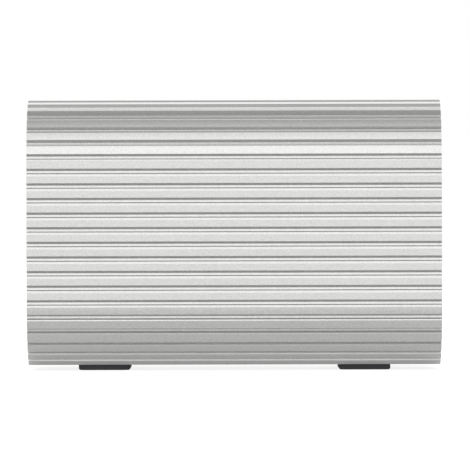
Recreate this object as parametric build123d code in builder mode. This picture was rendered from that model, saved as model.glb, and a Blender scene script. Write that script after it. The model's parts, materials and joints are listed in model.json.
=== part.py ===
from build123d import *
import os
from math import cos, degrees, pi, radians, sin

# Portable DC to AC power inverter, in millimetres.
# +X runs along the extruded body towards the AC outlets, +Y across it, +Z up.
# The origin is the centre of the footprint, at the level of the rubber feet's soles.

# ---------------------------------------------------------------- driving dimensions
LENGTH = 155.0  # extruded body, end to end
BODY_HEIGHT = 99.8
CORNER_R = 22.8
WALL = 2.8
FOOT_HEIGHT = 2.0

GROOVE_PITCH = 5.45  # along the skin
GROOVE_DEPTH = 1.3
GROOVE_SHIFT = 1.0  # the groove next above mid-height
GROOVES_UP = 14  # from mid-height round to the middle of the roof
GROOVES_DOWN = 11  # from mid-height round to the flat underside

INSET = 5.0  # the end panels sit this far inside the tube's mouths
PANEL_T = 2.0
PANEL_GAP = 0.2

FOOT_LENGTH = 19.4
FOOT_WIDTH = 14.0
FOOT_X = 49.2
FOOT_Y = 10.2

# ---------------------------------------------------------------- worked-out dimensions
SIDE_FLAT = BODY_HEIGHT - 2 * CORNER_R
CORNER_ARC = pi / 2 * CORNER_R
# A land lies on the middle of the roof, half a pitch past the last groove.
ROOF_HALF_FLAT = GROOVE_SHIFT + (GROOVES_UP + 0.5) * GROOVE_PITCH - SIDE_FLAT / 2 - CORNER_ARC
WIDTH = 2 * (CORNER_R + ROOF_HALF_FLAT)
MID_Z = FOOT_HEIGHT + BODY_HEIGHT / 2

CAVITY_WIDTH = WIDTH - 2 * WALL
CAVITY_HEIGHT = BODY_HEIGHT - 2 * WALL
CAVITY_R = CORNER_R - WALL
WALL_Y = CAVITY_WIDTH / 2  # inner face of the flat side wall

PANEL_X = LENGTH / 2 - INSET  # outer face of either end panel
RAIL_X = PANEL_X - PANEL_T  # ends of the inner rails, which the panels sit on

# Panel planes: local x is across as seen from outside, local y is up from the floor, local z is outwards.
FRONT = Plane(origin=(PANEL_X, 0, 0), x_dir=(0, 1, 0), z_dir=(1, 0, 0))
REAR = Plane(origin=(-PANEL_X, 0, 0), x_dir=(0, -1, 0), z_dir=(-1, 0, 0))

os.makedirs("parts", exist_ok=True)


def write(piece, name):
    """Labels a finished piece and writes its STEP file."""
    piece.part.label = name
    export_step(piece.part, f"parts/{name}.step")


# ---------------------------------------------------------------- housing
def skin_place(up):
    """Where the +Y skin lies, up mm along it from mid-height, and the turn of its outward normal."""
    sign = 1 if up >= 0 else -1
    run = abs(up)
    if run <= SIDE_FLAT / 2:
        return WIDTH / 2, MID_Z + up, 0.0
    turn = min((run - SIDE_FLAT / 2) / CORNER_R, pi / 2)
    past_corner = max(run - SIDE_FLAT / 2 - CORNER_ARC, 0)
    y = WIDTH / 2 - CORNER_R + CORNER_R * cos(turn) - past_corner
    z = SIDE_FLAT / 2 + CORNER_R * sin(turn)
    return y, MID_Z + sign * z, sign * degrees(turn)


def groove_places(side):
    """A location on the outline for every groove of one flank, with local x pointing outwards."""
    places = []
    for number in range(-GROOVES_DOWN, GROOVES_UP + 1):
        y, z, turn = skin_place(GROOVE_SHIFT + number * GROOVE_PITCH)
        places.append(Location((side * y, z), turn if side > 0 else 180 - turn))
    return places


# A groove in section, as (outwards from the skin, up along it): a crisp upper lip, a sloping upper wall,
# a narrow floor and a lower lip that eases back to the skin. Its first and last corners stand clear of the skin.
GROOVE_LINE = [
    (0.4, 1.52),
    (-0.08, 1.04),
    (-GROOVE_DEPTH, 0.3),
    (0.2 - GROOVE_DEPTH, -0.55),
    (-0.2, -0.93),
    (-0.07, -1.3),
    (0.06, -2.2),
    (0.4, -2.2),
]
GROOVE_FLOOR_R = 0.25
LOWER_LIP_R = 0.2


def groove_section(upwards):
    """The face cut for one groove, upwards being 1 where local y points up the skin and -1 where down it."""
    with BuildSketch() as section:
        with BuildLine():
            Polyline(*[(x, upwards * y) for x, y in GROOVE_LINE], close=True)
        make_face()
        corners = section.vertices().sort_by(Axis.X)
        fillet(corners[0], GROOVE_FLOOR_R)
        fillet(corners[1], GROOVE_FLOOR_R / 2)
        fillet(corners[2], LOWER_LIP_R)
    return section.sketch


# Screw bosses fill the tube's inner corners.
BOSS_R = 3.9
SCREW_HOLE_R = 1.5
BOSS_OUT = (CAVITY_R - 3.2) * cos(radians(45))
BOSS_Y = WIDTH / 2 - CORNER_R + BOSS_OUT
BOSS_LOW_Z = FOOT_HEIGHT + CORNER_R - BOSS_OUT
BOSS_HIGH_Z = FOOT_HEIGHT + BODY_HEIGHT - CORNER_R + BOSS_OUT
BOSSES = [(side * BOSS_Y, z) for z in (BOSS_LOW_Z, BOSS_HIGH_Z) for side in (-1, 1)]

# The circuit board slides between two pairs of ribs.
BOARD_Z = 21.0
BOARD_T = 1.6
BOARD_TOP = BOARD_Z + BOARD_T
RIB_T = 1.7
RIB_REACH = 4.0
SLOT_GAP = 0.2
RIB_Y = WIDTH / 2 - WALL / 2 - 0.6 - RIB_REACH / 2

# A hooked channel above each row of power transistors holds its spring clip.
LEDGE_Z = 47.0
LEDGE_T = 1.6
LEDGE_REACH = 4.8
HOOK_T = 1.3
HOOK_DROP = 2.6

with BuildPart() as housing:
    with BuildSketch(Plane.YZ.offset(-LENGTH / 2)):
        with Locations((0, MID_Z)):
            RectangleRounded(WIDTH, BODY_HEIGHT, CORNER_R)
        for side in (1, -1):
            with Locations(*groove_places(side)):
                add(groove_section(side), mode=Mode.SUBTRACT)
        with Locations((0, MID_Z)):
            RectangleRounded(CAVITY_WIDTH, CAVITY_HEIGHT, CAVITY_R, mode=Mode.SUBTRACT)
    extrude(amount=LENGTH)
    with BuildSketch(Plane.YZ.offset(-RAIL_X)):
        with Locations(*BOSSES):
            Circle(BOSS_R)
        for side in (-1, 1):
            rib_levels = (BOARD_Z - SLOT_GAP - RIB_T / 2, BOARD_TOP + SLOT_GAP + RIB_T / 2)
            with Locations(*[(side * RIB_Y, z) for z in rib_levels]):
                Rectangle(RIB_REACH, RIB_T)
            with Locations((side * (WALL_Y + WALL / 6 - LEDGE_REACH / 2), LEDGE_Z + LEDGE_T / 2)):
                Rectangle(LEDGE_REACH + WALL / 3, LEDGE_T)
            with Locations((side * (WALL_Y - LEDGE_REACH + HOOK_T / 2), LEDGE_Z - HOOK_DROP / 2)):
                Rectangle(HOOK_T, HOOK_DROP)
        with Locations(*BOSSES):
            Circle(SCREW_HOLE_R, mode=Mode.SUBTRACT)
    extrude(amount=2 * RAIL_X)
write(housing, "housing")

# ---------------------------------------------------------------- rubber feet
FOOT_CORNER = 3.0
FOOT_EDGE = 0.7
FEET = {
    "foot_front_left": (FOOT_X, FOOT_Y),
    "foot_front_right": (FOOT_X, -FOOT_Y),
    "foot_rear_left": (-FOOT_X, FOOT_Y),
    "foot_rear_right": (-FOOT_X, -FOOT_Y),
}
for name, place in FEET.items():
    with BuildPart() as foot:
        with BuildSketch():
            with Locations(place):
                RectangleRounded(FOOT_LENGTH, FOOT_WIDTH, FOOT_CORNER)
        extrude(amount=FOOT_HEIGHT)
        fillet(foot.faces().sort_by(Axis.Z)[0].edges(), FOOT_EDGE)
    write(foot, name)


# ---------------------------------------------------------------- screws
def pan_screw(shank_r, shank_length, head_r, head_height):
    """A cross-recess pan head screw along Z, its head standing on the plane z = 0."""
    recess = (head_r * 1.3, head_r * 0.33)
    with BuildPart() as screw:
        with BuildSketch():
            Circle(head_r)
        extrude(amount=head_height)
        fillet(screw.faces().sort_by(Axis.Z)[-1].edges(), head_height * 0.45)
        with BuildSketch():
            Circle(shank_r)
        extrude(amount=-shank_length)
        chamfer(screw.faces().sort_by(Axis.Z)[0].edges(), shank_r * 0.3)
        with BuildSketch(Plane.XY.offset(head_height)):
            Rectangle(*recess)
            Rectangle(*reversed(recess))
        extrude(amount=-head_height * 0.65, mode=Mode.SUBTRACT)
    return screw.part


M3_SHANK_R = 1.4
M3_HEAD_R = 2.75
M3_HEAD_H = 1.7
panel_screw = pan_screw(M3_SHANK_R, 12.0, M3_HEAD_R, M3_HEAD_H)

for name, plane in (("front_panel_screws", FRONT), ("rear_panel_screws", REAR)):
    with BuildPart() as screws:
        with Locations(*[plane * Location((y, z, 0)) for y, z in BOSSES]):
            add(panel_screw)
    write(screws, name)

# ---------------------------------------------------------------- front panel
PANEL_WIDTH = CAVITY_WIDTH - 2 * PANEL_GAP
PANEL_HEIGHT = CAVITY_HEIGHT - 2 * PANEL_GAP
PANEL_R = CAVITY_R - PANEL_GAP
PANEL_RIM = 1.4
PANEL_RIM_HEIGHT = 0.9
SCREW_CLEARANCE_R = 1.7

OUTLET_X = -11.5
OUTLET_SPACING = 38.1
OUTLETS = {
    "upper": (OUTLET_X, MID_Z + OUTLET_SPACING / 2),
    "lower": (OUTLET_X, MID_Z - OUTLET_SPACING / 2),
}
OUTLET_R = 17.45
OUTLET_FLAT = 28.3
OUTLET_GAP = 0.15

CONTROL_X = 21.5
SWITCH_Z = 36.0
SWITCH_BEZEL = (15.0, 21.2)
SWITCH_CUTOUT = (13.2, 19.6)
LED_R = 1.5
LEDS = {"power": (CONTROL_X, 59.0), "fault": (CONTROL_X, 68.0)}
INTAKE_X = 17.0
INTAKE_SLOT = (15.0, 2.0)
INTAKE_LEVELS = (9.0, 12.5, 16.0, 77.5, 81.0, 84.5)


def blank_panel(plane):
    """The plate that closes one mouth of the tube. Its raised rim makes way for the four screw heads."""
    with BuildPart() as plate:
        with BuildSketch(plane.offset(-PANEL_T)):
            with Locations((0, MID_Z)):
                RectangleRounded(PANEL_WIDTH, PANEL_HEIGHT, PANEL_R)
        extrude(amount=PANEL_T)
        with BuildSketch(plane):
            with Locations((0, MID_Z)):
                RectangleRounded(PANEL_WIDTH, PANEL_HEIGHT, PANEL_R)
                RectangleRounded(
                    PANEL_WIDTH - 2 * PANEL_RIM,
                    PANEL_HEIGHT - 2 * PANEL_RIM,
                    PANEL_R - PANEL_RIM,
                    mode=Mode.SUBTRACT,
                )
            with Locations(*BOSSES):
                Circle(M3_HEAD_R + 0.5, mode=Mode.SUBTRACT)
        extrude(amount=PANEL_RIM_HEIGHT)
        with BuildSketch(plane):
            with Locations(*BOSSES):
                Circle(SCREW_CLEARANCE_R)
        extrude(amount=-PANEL_T, mode=Mode.SUBTRACT)
    return plate.part


with BuildPart() as front_panel:
    add(blank_panel(FRONT))
    with BuildSketch(FRONT):
        with BuildSketch(mode=Mode.PRIVATE) as opening:
            Circle(OUTLET_R + OUTLET_GAP)
            Rectangle(2 * OUTLET_R + 2, OUTLET_FLAT + 2 * OUTLET_GAP, mode=Mode.INTERSECT)
        with Locations(*OUTLETS.values()):
            add(opening.sketch)
        with Locations((CONTROL_X, SWITCH_Z)):
            Rectangle(*SWITCH_CUTOUT)
        with Locations(*LEDS.values()):
            Circle(LED_R + 0.1)
        with Locations(*[(INTAKE_X, level) for level in INTAKE_LEVELS]):
            SlotOverall(*INTAKE_SLOT)
    extrude(amount=-PANEL_T, mode=Mode.SUBTRACT)
write(front_panel, "front_panel")

# A pad of open-celled foam behind each group of intake slots keeps dust out.
FILTER = (15.8, 10.4)
FILTER_T = 1.5
with BuildPart() as intake_filters:
    with BuildSketch(FRONT.offset(-PANEL_T - FILTER_T)):
        with Locations((INTAKE_X, INTAKE_LEVELS[1]), (INTAKE_X, INTAKE_LEVELS[4])):
            RectangleRounded(*FILTER, 1.0)
    extrude(amount=FILTER_T)
write(intake_filters, "intake_filters")

# ---------------------------------------------------------------- AC outlets
# Each outlet is a moulded shell with three contacts and a back cover. Local z = 0 is the panel's outer face.
FACE_PROUD = 1.0
FACE_BACK = -PANEL_T
FLANGE = (37.5, 30.5, 2.0)
FLANGE_T = 1.6
SHELL = (29.0, 25.0)
SHELL_T = 1.5
SHELL_BACK = -20.0
COVER_T = 2.0
BLADE_SPACING = 12.7
BLADE_UP = 4.2
EARTH_DOWN = -7.7
LINE_SLOT = (1.9, 6.8)
NEUTRAL_SLOT = (1.9, 8.4)
EARTH_R = 2.55
LINE_AT = (BLADE_SPACING / 2, BLADE_UP)
NEUTRAL_AT = (-BLADE_SPACING / 2, BLADE_UP)
EARTH_AT = (0, EARTH_DOWN)

with BuildPart() as outlet_shell:
    with BuildSketch(Plane.XY.offset(FACE_BACK)):
        Circle(OUTLET_R)
        Rectangle(2 * OUTLET_R + 2, OUTLET_FLAT, mode=Mode.INTERSECT)
    extrude(amount=FACE_PROUD - FACE_BACK)
    fillet(outlet_shell.faces().sort_by(Axis.Z)[-1].edges(), 0.5)
    with BuildSketch(Plane.XY.offset(FACE_BACK - FLANGE_T)):
        RectangleRounded(*FLANGE)
    extrude(amount=FLANGE_T)
    with BuildSketch(Plane.XY.offset(SHELL_BACK)):
        RectangleRounded(*SHELL, 1.5)
    extrude(amount=FACE_BACK - SHELL_BACK)
    with BuildSketch(Plane.XY.offset(SHELL_BACK)):
        Rectangle(SHELL[0] - 2 * SHELL_T, SHELL[1] - 2 * SHELL_T)
    extrude(amount=FACE_BACK - SHELL_BACK, mode=Mode.SUBTRACT)
    with BuildSketch(Plane.XY.offset(FACE_PROUD)):
        with Locations(LINE_AT):
            Rectangle(*LINE_SLOT)
        with Locations(NEUTRAL_AT):
            Rectangle(*NEUTRAL_SLOT)
        with Locations(EARTH_AT):
            Circle(EARTH_R)
    extrude(amount=FACE_BACK - FACE_PROUD, mode=Mode.SUBTRACT)

CONTACT_TAB = (0.8, 4.8)
with BuildPart() as outlet_cover:
    with BuildSketch(Plane.XY.offset(SHELL_BACK - COVER_T)):
        RectangleRounded(*SHELL, 1.5)
        with Locations(LINE_AT, NEUTRAL_AT, EARTH_AT):
            Rectangle(CONTACT_TAB[0] + 0.3, CONTACT_TAB[1] + 0.3, mode=Mode.SUBTRACT)
    extrude(amount=COVER_T)

CONTACT_FRONT = FACE_BACK - 1.0
CONTACT_BACK = SHELL_BACK + 0.5
TAB_BACK = SHELL_BACK - COVER_T - 4.5
BRIDGE = (4.0, 1.2)

# The tab behind each contact passes out through the cover.
with BuildPart() as tab:
    with BuildSketch(Plane.XY.offset(TAB_BACK)):
        Rectangle(*CONTACT_TAB)
    extrude(amount=CONTACT_BACK - TAB_BACK)


def blade_contact(width):
    """A folded brass fork that grips one flat blade."""
    with BuildPart() as fork:
        with BuildSketch(Plane.XY.offset(CONTACT_BACK)):
            Rectangle(3.3, width)
        extrude(amount=CONTACT_FRONT - CONTACT_BACK)
        with BuildSketch(Plane.XY.offset(CONTACT_BACK + 1.0)):
            Rectangle(1.7, width)
        extrude(amount=CONTACT_FRONT - CONTACT_BACK, mode=Mode.SUBTRACT)
        add(tab.part)
    return fork.part


def pin_contact():
    """A slit brass sleeve that grips the round earth pin."""
    with BuildPart() as sleeve:
        with BuildSketch(Plane.XY.offset(CONTACT_BACK)):
            Circle(EARTH_R + 0.7)
        extrude(amount=CONTACT_FRONT - CONTACT_BACK)
        with BuildSketch(Plane.XY.offset(CONTACT_BACK + 1.0)):
            Circle(EARTH_R + 0.1)
            Rectangle(1.0, 2 * EARTH_R + 4)
        extrude(amount=CONTACT_FRONT - CONTACT_BACK, mode=Mode.SUBTRACT)
        add(tab.part)
    return sleeve.part


def outlet_location(name, offset=(0, 0)):
    """The place of an outlet's local frame, or of a point across and up from its centre."""
    across, up = OUTLETS[name]
    return FRONT * Location((across + offset[0], up + offset[1], 0))


for name in OUTLETS:
    with BuildPart() as shell:
        with Locations(outlet_location(name)):
            add(outlet_shell.part)
    write(shell, f"outlet_{name}_shell")
    with BuildPart() as cover:
        with Locations(outlet_location(name)):
            add(outlet_cover.part)
    write(cover, f"outlet_{name}_cover")

# Each pole's two contacts are joined behind the covers by a bridge.
STRIPS = {
    "line_strip": (blade_contact(LINE_SLOT[1]), LINE_AT),
    "neutral_strip": (blade_contact(NEUTRAL_SLOT[1]), NEUTRAL_AT),
    "earth_strip": (pin_contact(), EARTH_AT),
}
for name, (shape, (across, up)) in STRIPS.items():
    with BuildPart() as strip:
        with Locations(*[outlet_location(outlet, (across, up)) for outlet in OUTLETS]):
            add(shape)
        with BuildSketch(FRONT.offset(TAB_BACK)):
            with Locations((OUTLET_X + across, MID_Z + up)):
                Rectangle(BRIDGE[0], OUTLET_SPACING + CONTACT_TAB[1])
        extrude(amount=BRIDGE[1])
    write(strip, name)

# ---------------------------------------------------------------- rocker switch
# Local x across, y up, z outwards from the panel's outer face, about the switch's centre.
SWITCH_PLACE = FRONT * Location((CONTROL_X, SWITCH_Z, 0))
BEZEL_T = 1.8
SWITCH_BODY = (12.8, 19.2)
SWITCH_DEPTH = 13.0
PIVOT_DEPTH = -3.0
ROCKER_R = 9.0  # from the pivot to the rocker's curved ends
ROCKER_WIDTH = 10.6
WELL = (ROCKER_WIDTH + 0.6, 2 * ROCKER_R + 0.4)
WELL_DEPTH = 6.5
TRUNNION_R = 1.2
TRUNNION_GAP = 0.05
ROCK = 16.0  # degrees from off to on
VALLEY_UP = 2.1  # the rocker's middle above the panel face

with BuildPart() as switch_body:
    with BuildSketch():
        RectangleRounded(*SWITCH_BEZEL, 1.2)
    extrude(amount=BEZEL_T)
    fillet(switch_body.faces().sort_by(Axis.Z)[-1].edges(), 0.6)
    with BuildSketch():
        Rectangle(*SWITCH_BODY)
    extrude(amount=-SWITCH_DEPTH)
    with BuildSketch(Plane.XY.offset(BEZEL_T)):
        Rectangle(*WELL)
    extrude(amount=-BEZEL_T - WELL_DEPTH, mode=Mode.SUBTRACT)
    with BuildSketch(Plane.YZ.offset(-SWITCH_BODY[0] / 2)):
        with Locations((0, PIVOT_DEPTH)):
            Circle(TRUNNION_R + TRUNNION_GAP)
    extrude(amount=SWITCH_BODY[0], mode=Mode.SUBTRACT)

with BuildPart() as switch_housing:
    with Locations(SWITCH_PLACE):
        add(switch_body.part)
write(switch_housing, "switch_housing")

# The rocker's section, drawn level and then tipped half its throw so that its lower half is pressed in.
SKIRT_BACK = PIVOT_DEPTH + 0.6
SLOPE = sin(radians(ROCK / 2))
with BuildPart() as rocker_body:
    with BuildSketch(Plane.YZ.offset(-ROCKER_WIDTH / 2)):
        with Locations((0, PIVOT_DEPTH)):
            Circle(ROCKER_R)
        with BuildLine():
            Polyline(
                (-ROCKER_R, SKIRT_BACK),
                (ROCKER_R, SKIRT_BACK),
                (ROCKER_R, VALLEY_UP + ROCKER_R * SLOPE),
                (0, VALLEY_UP),
                (-ROCKER_R, VALLEY_UP + ROCKER_R * SLOPE),
                close=True,
            )
        make_face(mode=Mode.INTERSECT)
    extrude(amount=ROCKER_WIDTH)
    fillet(rocker_body.edges().filter_by(Axis.X).group_by(Axis.Z)[-1], 0.5)
    with BuildSketch(Plane.YZ.offset(-SWITCH_BODY[0] / 2 + 0.2)):
        with Locations((0, PIVOT_DEPTH)):
            Circle(TRUNNION_R)
    extrude(amount=SWITCH_BODY[0] - 0.4)
    with BuildSketch(Plane.YZ.offset(-1.5)):
        with Locations((0, PIVOT_DEPTH)):
            Circle(2.4)
    extrude(amount=3.0)

TIP = Location((0, 0, PIVOT_DEPTH), (ROCK / 2, 0, 0)) * Location((0, 0, -PIVOT_DEPTH))
with BuildPart() as switch_rocker:
    with Locations(SWITCH_PLACE * TIP):
        add(rocker_body.part)
write(switch_rocker, "switch_rocker")

SPADE = (4.8, 0.8)
SPADES_UP = (-6.0, 0.0, 6.0)
with BuildPart() as switch_terminals:
    with BuildSketch(FRONT.offset(-SWITCH_DEPTH - 8.0)):
        with Locations(*[(CONTROL_X, SWITCH_Z + up) for up in SPADES_UP]):
            Rectangle(*SPADE)
    extrude(amount=8.0)
write(switch_terminals, "switch_terminals")

# ---------------------------------------------------------------- indicator lamps
LED_FLANGE_R = 1.9
LED_FLANGE_T = 1.0
LED_BODY = 3.2
LAMP_BOARD_BACK = -9.6
with BuildPart() as lamp_shape:
    with BuildSketch(Plane.XY.offset(-PANEL_T - LED_FLANGE_T)):
        Circle(LED_FLANGE_R)
    extrude(amount=LED_FLANGE_T)
    with BuildSketch(Plane.XY.offset(-PANEL_T)):
        Circle(LED_R)
    extrude(amount=LED_BODY)
    fillet(lamp_shape.faces().sort_by(Axis.Z)[-1].edges(), LED_R * 0.95)
    with BuildSketch(Plane.XY.offset(-PANEL_T - LED_FLANGE_T)):
        with Locations((-1.27, 0), (1.27, 0)):
            Rectangle(0.5, 0.5)
    extrude(amount=LAMP_BOARD_BACK + PANEL_T + LED_FLANGE_T)

for name, (across, up) in LEDS.items():
    with BuildPart() as lamp:
        with Locations(FRONT * Location((across, up, 0))):
            add(lamp_shape.part)
    write(lamp, f"{name}_lamp")

LAMP_BOARD = (14.0, 22.0)
LAMP_BOARD_Z = sum(up for across, up in LEDS.values()) / len(LEDS)
with BuildPart() as lamp_board:
    with BuildSketch(FRONT.offset(LAMP_BOARD_BACK)):
        with Locations((CONTROL_X, LAMP_BOARD_Z)):
            RectangleRounded(*LAMP_BOARD, 1.0)
        for across, up in LEDS.values():
            with Locations((across - 1.27, up), (across + 1.27, up)):
                Rectangle(0.6, 0.6, mode=Mode.SUBTRACT)
    extrude(amount=1.2)
write(lamp_board, "lamp_board")

# ---------------------------------------------------------------- rear panel
FAN_SIZE = 40.0
FAN_DEPTH = 15.0
FAN_Z = 73.5
FAN_SCREW_SPACING = 32.0
FAN_MOUTH_R = 18.6
FAN_PLACE = REAR * Location((0, FAN_Z, 0))
FAN_SCREWS = [(x, y) for x in (-1, 1) for y in (-1, 1)]
FAN_SCREWS = [(x * FAN_SCREW_SPACING / 2, y * FAN_SCREW_SPACING / 2) for x, y in FAN_SCREWS]

INLET_Z = 35.0
INLET_PLACE = REAR * Location((0, INLET_Z, 0))
INLET_SHROUD = (34.0, 17.0, 3.0)
INLET_CAVITY = (28.0, 12.0, 1.5)
INLET_SCREWS = [(-20.8, 0), (20.8, 0)]
INLET_GAP = 0.15

GROUND_AT = (29.0, 40.0)
GROUND_SHANK_R = 2.0

VENT_SLOT = (24.0, 2.2)
VENT_Z = 67.0
VENT_ACROSS = (25.5, 29.2, 32.9)

with BuildPart() as rear_panel:
    add(blank_panel(REAR))
    with BuildSketch(REAR):
        with Locations((0, FAN_Z)):
            Circle(FAN_MOUTH_R)
        with Locations(*[(x, FAN_Z + y) for x, y in FAN_SCREWS]):
            Circle(SCREW_CLEARANCE_R)
        with Locations((0, INLET_Z)):
            RectangleRounded(
                INLET_SHROUD[0] + 2 * INLET_GAP,
                INLET_SHROUD[1] + 2 * INLET_GAP,
                INLET_SHROUD[2] + INLET_GAP,
            )
        with Locations(*[(x, INLET_Z + y) for x, y in INLET_SCREWS]):
            Circle(SCREW_CLEARANCE_R)
        with Locations(GROUND_AT):
            Circle(GROUND_SHANK_R + 0.05)
        with Locations(*[(side * across, VENT_Z) for across in VENT_ACROSS for side in (-1, 1)]):
            SlotOverall(*VENT_SLOT, rotation=90)
    extrude(amount=-PANEL_T, mode=Mode.SUBTRACT)
write(rear_panel, "rear_panel")

# ---------------------------------------------------------------- fan
# Local z = 0 is the rear panel's outer face, and the rotor faces outwards.
FAN_FRONT = -PANEL_T
FAN_BACK = FAN_FRONT - FAN_DEPTH
FAN_BORE_R = 18.9
FAN_FLANGE_T = 2.6
SPIDER_R = 11.0
SPIDER_T = 1.6
SPIDER_ARM = 2.4
TUBE_R = 3.0
BEARING_R = 2.1
SHAFT_R = 1.0
SHAFT_GAP = 0.03
BEARING_FRONT = -6.4
BEARING_BACK = FAN_BACK + 1.0

HUB_R = 10.6
HUB_WALL = 0.9
HUB_FRONT = -3.0
HUB_TOP_T = 1.2
HUB_BACK = FAN_BACK + SPIDER_T + 0.6
BLADE_TIP_R = 18.2
BLADE_COUNT = 7
MAGNET_T = 0.8

with BuildPart() as frame_shape:
    for level in (FAN_BACK, FAN_FRONT - FAN_FLANGE_T):
        with BuildSketch(Plane.XY.offset(level)):
            RectangleRounded(FAN_SIZE, FAN_SIZE, 3.0)
            with Locations(*FAN_SCREWS):
                Circle(SCREW_HOLE_R, mode=Mode.SUBTRACT)
        extrude(amount=FAN_FLANGE_T)
    with BuildSketch(Plane.XY.offset(FAN_BACK)):
        Circle(FAN_SIZE / 2)
    extrude(amount=FAN_DEPTH)
    with BuildSketch(Plane.XY.offset(FAN_BACK)):
        Circle(FAN_BORE_R)
    extrude(amount=FAN_DEPTH, mode=Mode.SUBTRACT)
    with BuildSketch(Plane.XY.offset(FAN_BACK)):
        Circle(SPIDER_R)
        for turn in (45, 135):
            Rectangle(2 * FAN_BORE_R + 1, SPIDER_ARM, rotation=turn)
    extrude(amount=SPIDER_T)
    with BuildSketch(Plane.XY.offset(FAN_BACK)):
        Circle(TUBE_R)
    extrude(amount=BEARING_FRONT - FAN_BACK)
    with BuildSketch(Plane.XY.offset(BEARING_BACK)):
        Circle(BEARING_R)
    extrude(amount=BEARING_FRONT - BEARING_BACK, mode=Mode.SUBTRACT)

with BuildPart() as bearing_shape:
    with BuildSketch(Plane.XY.offset(BEARING_BACK)):
        Circle(BEARING_R)
        Circle(SHAFT_R + SHAFT_GAP, mode=Mode.SUBTRACT)
    extrude(amount=BEARING_FRONT - BEARING_BACK)

with BuildPart() as shaft_shape:
    with BuildSketch(Plane.XY.offset(BEARING_BACK + 0.3)):
        Circle(SHAFT_R)
    extrude(amount=HUB_FRONT - HUB_TOP_T - BEARING_BACK - 0.3)

with BuildPart() as blade_shape:
    with BuildSketch(Plane.YZ.offset(HUB_R - 1.8)):
        with BuildLine():
            ThreePointArc((-4.4, HUB_BACK + 0.8), (0.9, -9.4), (4.4, HUB_FRONT - 1.4))
        trace(line_width=0.9)
    extrude(amount=BLADE_TIP_R - HUB_R + 2.8)
    with BuildSketch(Plane.XY.offset(HUB_BACK - 1.0)):
        Circle(BLADE_TIP_R)
    extrude(amount=HUB_FRONT - HUB_BACK + 2.0, mode=Mode.INTERSECT)

with BuildPart() as rotor_shape:
    with BuildSketch(Plane.XY.offset(HUB_BACK)):
        Circle(HUB_R)
    extrude(amount=HUB_FRONT - HUB_BACK)
    fillet(rotor_shape.faces().sort_by(Axis.Z)[-1].edges(), 0.8)
    with PolarLocations(0, BLADE_COUNT):
        add(blade_shape.part)
    with BuildSketch(Plane.XY.offset(HUB_BACK)):
        Circle(HUB_R - HUB_WALL)
        Circle(TUBE_R - 0.4, mode=Mode.SUBTRACT)
    extrude(amount=HUB_FRONT - HUB_TOP_T - HUB_BACK, mode=Mode.SUBTRACT)
    with BuildSketch(Plane.XY.offset(HUB_BACK)):
        Circle(TUBE_R - 0.4)
    extrude(amount=BEARING_FRONT + 0.4 - HUB_BACK, mode=Mode.SUBTRACT)
    with BuildSketch(Plane.XY.offset(BEARING_FRONT)):
        Circle(SHAFT_R)
    extrude(amount=HUB_FRONT - HUB_TOP_T - BEARING_FRONT, mode=Mode.SUBTRACT)

with BuildPart() as magnet_shape:
    with BuildSketch(Plane.XY.offset(HUB_BACK + 1.0)):
        Circle(HUB_R - HUB_WALL)
        Circle(HUB_R - HUB_WALL - MAGNET_T, mode=Mode.SUBTRACT)
    extrude(amount=8.5)

STATOR_R = HUB_R - HUB_WALL - MAGNET_T - 0.5
with BuildPart() as stator_shape:
    with BuildSketch(Plane.XY.offset(HUB_BACK + 1.5)):
        Circle(STATOR_R)
        Circle(STATOR_R - 1.4, mode=Mode.SUBTRACT)
        for turn in (0, 90):
            Rectangle(2 * STATOR_R - 1, 2.6, rotation=turn)
            Rectangle(2 * STATOR_R + 1, 0.9, rotation=turn + 45, mode=Mode.SUBTRACT)
        Circle(TUBE_R + 1.4)
        Circle(TUBE_R, mode=Mode.SUBTRACT)
    extrude(amount=6.0)

WIRE_R = 0.6
ARM_LEVEL = WIRE_R + 0.05
RING_LEVEL = ARM_LEVEL + 1.0
RING_RADII = (5.6, 10.6, 15.6)
EYELET_R = 2.5
CORNER_RUN = FAN_SCREW_SPACING / 2 * 2**0.5
with BuildPart() as guard_shape:
    with Locations((0, 0, RING_LEVEL)):
        for ring_r in RING_RADII:
            Torus(ring_r, WIRE_R)
    with Locations(*[(x, y, ARM_LEVEL) for x, y in FAN_SCREWS]):
        Torus(EYELET_R, WIRE_R)
    for turn in (45, 135, 225, 315):
        outwards = (cos(radians(turn)), sin(radians(turn)), 0)
        with BuildSketch(Plane(origin=(0, 0, ARM_LEVEL), z_dir=outwards).offset(RING_RADII[0] - WIRE_R)):
            Circle(WIRE_R)
        extrude(amount=CORNER_RUN - EYELET_R - RING_RADII[0] + WIRE_R)

fan_screw = pan_screw(M3_SHANK_R, 20.5, M3_HEAD_R, M3_HEAD_H)
GUARD_TOP = ARM_LEVEL + WIRE_R

FAN_PIECES = {
    "fan_frame": frame_shape,
    "fan_bearing": bearing_shape,
    "fan_shaft": shaft_shape,
    "fan_rotor": rotor_shape,
    "fan_magnet": magnet_shape,
    "fan_stator": stator_shape,
    "fan_guard": guard_shape,
}
for name, shape in FAN_PIECES.items():
    with BuildPart() as fan_piece:
        with Locations(FAN_PLACE):
            add(shape.part)
    write(fan_piece, name)

with BuildPart() as fan_screws:
    with Locations(*[FAN_PLACE * Location((x, y, GUARD_TOP)) for x, y in FAN_SCREWS]):
        add(fan_screw)
write(fan_screws, "fan_screws")

# ---------------------------------------------------------------- DC inlet
# A shrouded socket with two round pins. Local z = 0 is the rear panel's outer face.
SHROUD_FRONT = 4.0
CAVITY_FLOOR = -10.0
SHROUD_BACK = -13.0
INLET_FLANGE = (48.0, 20.0, 3.0)
INLET_FLANGE_T = 2.0
PIN_R = 2.5
COLLAR_R = 3.0
PIN_SPACING = 14.0
PIN_FRONT = 1.0
PIN_TAIL_R = 1.8
PIN_TAIL = -19.0
PINS = {"positive": -PIN_SPACING / 2, "negative": PIN_SPACING / 2}

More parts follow.
